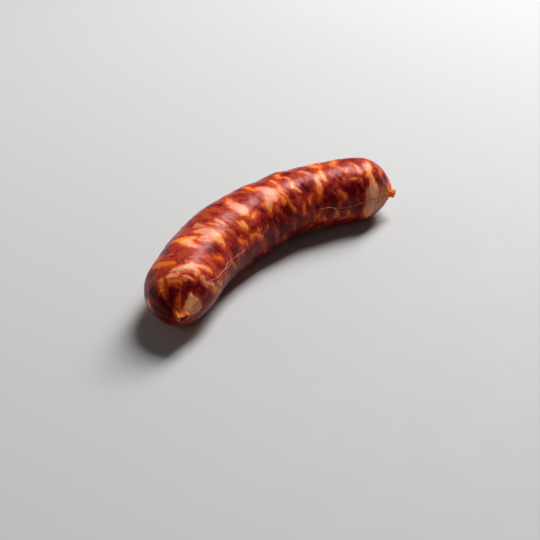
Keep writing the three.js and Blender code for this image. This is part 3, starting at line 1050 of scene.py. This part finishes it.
def casing_material(look):
    """Oily casing over marbled meat, read from what the casing's points carry."""
    material, tree, shader = new_material(
        "oily_casing",
        IOR=1.45,
        Specular_IOR_Level=look.shine,
        Specular_Tint=(1.0, 0.28, 0.25, 1.0),
        Coat_Weight=look.coat,
        Coat_Roughness=look.coat_roughness,
        Coat_IOR=1.4,
        Subsurface_Weight=look.translucency,
        Subsurface_Radius=(1.0, 0.32, 0.16),
        Subsurface_Scale=2.0 * MM,
    )
    mottle = named_group("mottle", mottle_group)
    crinkle = named_group("casing_crinkle", crinkle_group)
    straight = read(tree, "straight", "Vector")
    fat = read(tree, "fat", "Fac")
    tone_and_light = read(tree, "tone_and_light", "Fac")
    bare = read(tree, "bare", "Fac")
    crease_shade = read(tree, "crease_shade", "Fac")
    fold = read(tree, "fold", "Fac")
    fat_look = read(tree, "fat_look", "Color")
    opacity = read(tree, "fat_look", "Alpha")
    stain = read(tree, "stain", "Fac")

    # Everything in the link is drawn out across it and swirls a little.
    squeezed = tree.vector("MULTIPLY", straight, (1.0, 0.85, 0.85))
    swirl = tree.add("ShaderNodeTexNoise", {"Vector": squeezed, "Scale": 0.14, "Detail": 2.0}, out="Color")
    drift = tree.scaled(tree.vector("SUBTRACT", swirl, (0.5, 0.5, 0.5)), look.swirl)
    flow = tree.vector("ADD", squeezed, drift)

    # Uneven soft edge of the fat.
    rough = tree.noise(flow, 0.24, 2.0, 0.45, 0.5)
    edge = tree.math("MULTIPLY_ADD", tree.math("SUBTRACT", rough, 0.5), 3.4, fat)
    fine = tree.noise(flow, 0.5, 2.0, 0.5, 0.4)
    edge = tree.math("MULTIPLY_ADD", tree.math("SUBTRACT", fine, 0.5), 1.2, edge)

    # Meat: red, with orange-brown and dark maroon swirls; the tone patches it reads add a painted highlight along
    # the lit band and painted shade along the underside.
    patch = use_group(tree, mottle, {"Vector": straight, "Scale": 0.11, "Low": -0.22, "High": 0.2})
    grain = tree.noise(flow, 0.3, 2.5, 0.5, 0.9)
    level = tree.math("ADD", tree.math("MULTIPLY_ADD", tone_and_light, 0.28, patch), grain)
    meat = tree.mix(tree.fade(level, 0.24, 0.5), rgba(look.meat_dark), rgba(look.meat))
    meat = tree.mix(tree.fade(level, 0.46, 0.74), meat, rgba(look.meat_pale))
    halo = tree.math("MULTIPLY", tree.fade(edge, -3.2, 0.2, 0.0, 0.8), stain)
    meat = tree.mix(halo, meat, rgba(look.fat_edge))
    stray = tree.math("MULTIPLY_ADD", tone_and_light, 0.15, tree.noise(flow, 0.6, 3.0, 0.6, 1.2))
    smear = tree.fade(stray, 0.52, 0.78, 0.0, 0.4)
    meat = tree.mix(smear, meat, rgba(look.smear))
    vein = tree.fade(tree.noise(flow, 1.1, 2.0, 0.5, 1.2), 0.56, 0.75, 0.0, 0.2)
    meat = tree.mix(vein, meat, rgba(look.meat_dark))

    # Fat: stained deep orange at its edge, its own colour inside.
    stained = tree.mix(tree.fade(edge, -0.9, 1.0), rgba(look.fat_edge), rgba(look.fat_stain))
    lobes = tree.math("MULTIPLY_ADD", tree.noise(flow, 0.5, 2.0, 0.5, 0.8), 2.4, -1.2)
    core = tree.fade(tree.math("ADD", edge, lobes), -0.3, 2.6)
    inner = tree.math("MAXIMUM", core, tree.math("SUBTRACT", 1.0, stain))
    body = tree.mix(inner, stained, fat_look)
    thread = tree.fade(tree.noise(flow, 0.9, 3.0, 0.6, 1.8), 0.56, 0.74, 0.0, 0.45)
    body = tree.mix(thread, body, rgba(look.fat_stain))
    mask = tree.math("MULTIPLY", tree.fade(edge, -0.9, 0.9), opacity)
    colour = tree.mix(mask, meat, body)

    # Bare casing at the knots, and painted shade in the creases and hollows.
    patchy = tree.fade(tree.noise(flow, 0.5, 2.0, 0.5, 0.6), 0.38, 0.62, 0.4, 0.9)
    colour = tree.mix(tree.math("MULTIPLY", bare, patchy), colour, rgba(look.bare))
    colour = tree.mix(tree.fade(fold, 0.30, 0.6, 0.0, 0.4), colour, rgba(look.bare))
    colour = tree.mix(tree.math("MULTIPLY", crease_shade, 0.6), colour, rgba(look.hollow_shade))

    gloss = use_group(
        tree, mottle,
        {"Vector": squeezed, "Scale": 0.5, "Low": look.roughness - 0.08, "High": look.roughness + 0.12},
    )
    ridges = use_group(tree, crinkle, {"Vector": straight, "Spacing": look.crinkle_spacing, "Stretch": 4.5})
    bump = tree.add(
        "ShaderNodeBump",
        {"Strength": 1.0, "Distance": 0.5 * look.crinkle_height * MM, "Height": ridges},
    )
    feed(tree, shader, Base_Color=colour, Roughness=gloss, Normal=bump)
    return material


def strand_material(look):
    """Pale dried strands of membrane."""
    material, tree, shader = new_material(
        "dried_strand", IOR=1.45, Specular_IOR_Level=0.15, Coat_Weight=0.1, Coat_Roughness=0.25
    )
    place = tree.scaled(tree.add("ShaderNodeTexCoord", out="Object"), 1.0 / MM)
    mottle = named_group("mottle", mottle_group)
    crinkle = named_group("casing_crinkle", crinkle_group)
    shade = use_group(tree, mottle, {"Vector": place, "Scale": 0.5})
    colour = tree.mix(shade, rgba(look.strand_dark), rgba(look.strand))
    gloss = use_group(tree, mottle, {"Vector": place, "Scale": 1.2, "Low": 0.3, "High": 0.5})
    ridges = use_group(tree, crinkle, {"Vector": place, "Spacing": 0.8, "Stretch": 1.5})
    bump = tree.add("ShaderNodeBump", {"Distance": 0.04 * MM, "Height": ridges})
    feed(tree, shader, Base_Color=colour, Roughness=gloss, Normal=bump)
    return material


def floor_material(look):
    """Pale matt studio paper."""
    material, tree, shader = new_material("studio_paper", Specular_IOR_Level=0.2)
    place = tree.add("ShaderNodeTexCoord", out="Object")
    mottle = named_group("mottle", mottle_group)
    shade = use_group(tree, mottle, {"Vector": place, "Scale": 1.5})
    pale = Vector(look.floor)
    colour = tree.mix(shade, rgba(pale * 0.97), rgba(pale))
    gloss = use_group(tree, mottle, {"Vector": place, "Scale": 40.0, "Low": 0.7, "High": 0.8})
    feed(tree, shader, Base_Color=colour, Roughness=gloss)
    return material


# ---------------------------------------------------------------------------------------------
# Settings that a user would change.


def length_setting(name, description, default):
    return FloatProperty(name=name, description=description, default=default, min=0.0)


def colour_setting(name, description, default):
    return FloatVectorProperty(
        name=name, description=description, default=default, subtype="COLOR", size=3, min=0.0, max=1.0
    )


class SausageCasingSettings(bpy.types.PropertyGroup):
    seed: IntProperty(name="Marbling seed", description="Picks the scattered fat", default=7)
    wrinkle_height: length_setting("Wrinkle height", "Height of the casing's wrinkles, mm", 0.38)
    wrinkle_spacing: length_setting("Wrinkle spacing", "Distance between wrinkles, mm", 4.4)
    crinkle_height: length_setting("Crinkle height", "Height of the finest crinkles, mm", 0.19)
    crinkle_spacing: length_setting("Crinkle spacing", "Distance between crinkles, mm", 3.4)
    shine: FloatProperty(name="Shine", description="Strength of the casing's gloss", default=0.15)
    roughness: FloatProperty(name="Roughness", description="Of the casing", default=0.33)
    coat: FloatProperty(name="Oil", description="Strength of the oily film", default=0.1)
    coat_roughness: FloatProperty(name="Oil roughness", description="Of the film", default=0.12)
    translucency: FloatProperty(name="Translucency", description="Light in the fat", default=0.3)
    swirl: length_setting("Swirl", "How far the marbling strays, mm", 4.5)
    meat: colour_setting("Meat", "Usual colour of the meat", (0.26, 0.011, 0.010))
    meat_dark: colour_setting("Dark meat", "Darkest patches", (0.105, 0.002, 0.004))
    meat_pale: colour_setting("Pale meat", "Palest patches", (0.43, 0.047, 0.029))
    smear: colour_setting("Smear", "Stained fat smeared under the casing", (0.57, 0.080, 0.024))
    fat_edge: colour_setting("Fat edge", "Deep stain at the edge of fat", (0.70, 0.075, 0.010))
    fat_stain: colour_setting("Fat stain", "Orange stain inside the edge", (0.90, 0.195, 0.030))
    bare: colour_setting("Bare casing", "Casing with no meat behind it", (0.52, 0.165, 0.022))
    # Painted shade inside the puckered ends and along the pleats' valleys.
    hollow_shade: colour_setting("Hollow", "Dark inside the puckered ends", (0.03, 0.010, 0.004))


class SausageStrandSettings(bpy.types.PropertyGroup):
    wander: length_setting("Wander", "How far a strand strays from its path, mm", 0.7)
    wander_size: length_setting("Wander size", "Length of one stray, mm", 5.0)
    sink: FloatProperty(name="Sink", description="Share sunk into the casing", default=0.35)
    strand: colour_setting("Strand", "Palest colour of the strands", (0.98, 0.37, 0.17))
    strand_dark: colour_setting("Dark strand", "Darkest colour", (0.62, 0.15, 0.04))


class SausageStageSettings(bpy.types.PropertyGroup):
    floor: colour_setting("Floor", "Colour of the floor", (0.58, 0.58, 0.575))
    key_power: FloatProperty(name="Key light", description="Power, W", default=38.0)
    rim_power: FloatProperty(name="Rim light", description="Power, W", default=0.6)
    fill_power: FloatProperty(name="Fill light", description="Power, W", default=0.4)
    world: FloatProperty(name="Surroundings", description="Brightness", default=0.04)


# ---------------------------------------------------------------------------------------------
# Operators.


class SAUSAGE_OT_casing(bpy.types.Operator):
    """Makes the filled casing with its marbling, wrinkles and puckered ends"""

    bl_idname = "sausage.casing"
    bl_label = "Make Casing"

    def execute(self, context):
        look = context.scene.sausage_casing
        axis = linked("axis", axis_mesh())
        source = linked("straight_casing", straight_casing(look.seed))
        settings = {
            "Axis": axis,
            "Axis Start": -NEAR_END["knot_length"] * MM,
            "Wrinkle Height": look.wrinkle_height * MM,
            "Wrinkle Spacing": look.wrinkle_spacing * MM,
            "Crinkle Height": look.crinkle_height * MM,
            "Crinkle Spacing": look.crinkle_spacing * MM,
            "Material": casing_material(look),
        }
        skin = finished_mesh(source, bend_tree(), settings, "sausage_skin")
        remove_object(axis)
        fit_to_solid(skin.data)
        require_outward(skin.data)
        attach(skin, "root")
        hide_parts("sausage")
        return {"FINISHED"}


class SAUSAGE_OT_strands(bpy.types.Operator):
    """Lays the thin pale strands on the casing"""

    bl_idname = "sausage.strands"
    bl_label = "Lay Strands"

    def execute(self, context):
        look = context.scene.sausage_strands
        source = linked("strand_paths", strand_paths())
        settings = {
            "Casing": bpy.data.objects["sausage_skin"],
            "Wander": look.wander * MM,
            "Wander Size": look.wander_size * MM,
            "Sink": look.sink,
            "Material": strand_material(look),
        }
        strands = finished_mesh(source, strand_tree(), settings, "surface_strands")
        fit_to_solid(strands.data)
        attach(strands, "root")
        return {"FINISHED"}


class SAUSAGE_OT_stage(bpy.types.Operator):
    """Sets up the floor, the lights and the camera"""

    bl_idname = "sausage.stage"
    bl_label = "Set Stage"

    def execute(self, context):
        look = context.scene.sausage_stage
        make_camera(context.scene)
        make_floor(look)
        make_lights(context.scene, look)
        return {"FINISHED"}


def axis_mesh():
    """The axis as a chain of edges."""
    _, x, y = AXIS
    points = np.stack([x, y, np.zeros(len(x))], axis=-1) * MM
    edges = [(i, i + 1) for i in range(len(x) - 1)]
    mesh = bpy.data.meshes.new("axis")
    mesh.from_pydata(points.tolist(), edges, [])
    return mesh


def strand_paths():
    """The strands' paths as chains of edges, on the casing's detailed radius, with their widths."""
    points = []
    edges = []
    widths = []
    for width, *places in VEINS:
        shares = np.linspace(0, len(places) - 1, 10 * len(places))
        along = np.interp(shares, range(len(places)), [place[0] for place in places])
        around = np.radians(np.interp(shares, range(len(places)), [place[1] for place in places]))
        start = len(points)
        points += (skin_points(along, around, AXIS, detailed_radius) * MM).tolist()
        edges += [(i, i + 1) for i in range(start, len(points) - 1)]
        widths += [width * MM] * len(shares)
    mesh = bpy.data.meshes.new("strand_paths")
    mesh.from_pydata(points, edges, [])
    store(mesh, "half_width", "FLOAT", "value", widths)
    return mesh


def fit_to_solid(mesh):
    """Keeps every point inside the box of the solid that the piece stands for."""
    points = np.zeros(len(mesh.vertices) * 3, np.float32)
    mesh.vertices.foreach_get("co", points)
    low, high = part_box("sausage")
    points = np.clip(points.reshape(-1, 3), np.array(low), np.array(high))
    mesh.vertices.foreach_set("co", points.ravel())
    mesh.update()


def require_outward(mesh):
    """Stops if the closed mesh is inside out."""
    mesh.calc_loop_triangles()
    points = np.zeros(len(mesh.vertices) * 3)
    mesh.vertices.foreach_get("co", points)
    corners = np.zeros(len(mesh.loop_triangles) * 3, int)
    mesh.loop_triangles.foreach_get("vertices", corners)
    a, b, c = points.reshape(-1, 3)[corners.reshape(-1, 3)].transpose(1, 0, 2)
    if np.einsum("ij,ij->i", a, np.cross(b, c)).sum() <= 0:
        raise RuntimeError(f"{mesh.name} is inside out")


def make_camera(scene):
    """The camera at the photograph's viewing angle."""
    pitch = math.radians(CAMERA_PITCH)
    turn = math.radians(CAMERA_HEADING)
    flat = Vector((math.cos(turn), math.sin(turn), 0.0))
    forward = flat * math.cos(pitch) - UP * math.sin(pitch)
    level = forward.cross(UP).normalized()
    upright = level.cross(forward)
    roll = math.radians(CAMERA_ROLL)
    right = level * math.cos(roll) + upright * math.sin(roll)
    top = upright * math.cos(roll) - level * math.sin(roll)
    data = bpy.data.cameras.new("camera")
    data.lens = CAMERA_LENS
    data.sensor_width = SENSOR_WIDTH
    camera = bpy.data.objects.new("camera", data)
    scene.collection.objects.link(camera)
    turned = Matrix((right, top, -forward)).transposed().to_4x4()
    camera.matrix_world = Matrix.Translation(Vector(CAMERA_PLACE) * MM) @ turned
    scene.camera = camera


def make_floor(look):
    half = 4.0
    corners = [(-half, -half, 0), (half, -half, 0), (half, half, 0), (-half, half, 0)]
    mesh = bpy.data.meshes.new("floor")
    mesh.from_pydata(corners, [], [(0, 1, 2, 3)])
    mesh.materials.append(floor_material(look))
    floor = linked("floor", mesh)


def make_light(name, power, size, place, target, colour=(1.0, 1.0, 1.0)):
    data = bpy.data.lights.new(name, "AREA")
    data.shape = "RECTANGLE"
    data.size, data.size_y = size
    data.energy = power
    data.color = colour
    light = bpy.data.objects.new(name, data)
    bpy.context.scene.collection.objects.link(light)
    light.location = place
    light.rotation_euler = (Vector(target) - Vector(place)).to_track_quat("-Z", "Y").to_euler()


def make_lights(scene, look):
    """A large soft key above and behind the far end, a rim behind, and a weak fill."""
    make_light("key", look.key_power, (0.55, 1.25), (0.99, 0.14, 1.25), (0.0, 0.0, 0.02))
    make_light("rim", look.rim_power, (0.6, 0.3), (-0.35, 0.60, 0.22), (0.0, 0.0, 0.03))
    make_light("fill", look.fill_power, (1.2, 1.2), (-0.9, -0.7, 0.9), (0.0, 0.0, 0.0))
    scene.view_settings.view_transform = "Standard"
    world = bpy.data.worlds.new("surroundings")
    world.use_nodes = True
    background = world.node_tree.nodes["Background"]
    background.inputs["Color"].default_value = (0.95, 0.97, 1.0, 1.0)
    background.inputs["Strength"].default_value = look.world
    scene.world = world


class SAUSAGE_PT_panel(bpy.types.Panel):
    """The sausage's settings and the steps that make it"""

    bl_idname = "SAUSAGE_PT_panel"
    bl_label = "Smoked Sausage"
    bl_space_type = "VIEW_3D"
    bl_region_type = "UI"
    bl_category = "Sausage"

    def draw(self, context):
        for operator, settings in (
            (SAUSAGE_OT_stage, context.scene.sausage_stage),
            (SAUSAGE_OT_casing, context.scene.sausage_casing),
            (SAUSAGE_OT_strands, context.scene.sausage_strands),
        ):
            box = self.layout.box()
            box.operator(operator.bl_idname)
            for name in settings.__annotations__:
                box.prop(settings, name)


CLASSES = (
    SausageCasingSettings,
    SausageStrandSettings,
    SausageStageSettings,
    SAUSAGE_OT_casing,
    SAUSAGE_OT_strands,
    SAUSAGE_OT_stage,
    SAUSAGE_PT_panel,
)


def register():
    for item in CLASSES:
        bpy.utils.register_class(item)
    bpy.types.Scene.sausage_casing = PointerProperty(type=SausageCasingSettings)
    bpy.types.Scene.sausage_strands = PointerProperty(type=SausageStrandSettings)
    bpy.types.Scene.sausage_stage = PointerProperty(type=SausageStageSettings)


def unregister():
    del bpy.types.Scene.sausage_stage
    del bpy.types.Scene.sausage_strands
    del bpy.types.Scene.sausage_casing
    for item in reversed(CLASSES):
        bpy.utils.unregister_class(item)


def main():
    register()
    bpy.ops.sausage.stage()
    bpy.ops.sausage.casing()
    bpy.ops.sausage.strands()


if __name__ == "__main__":
    main()
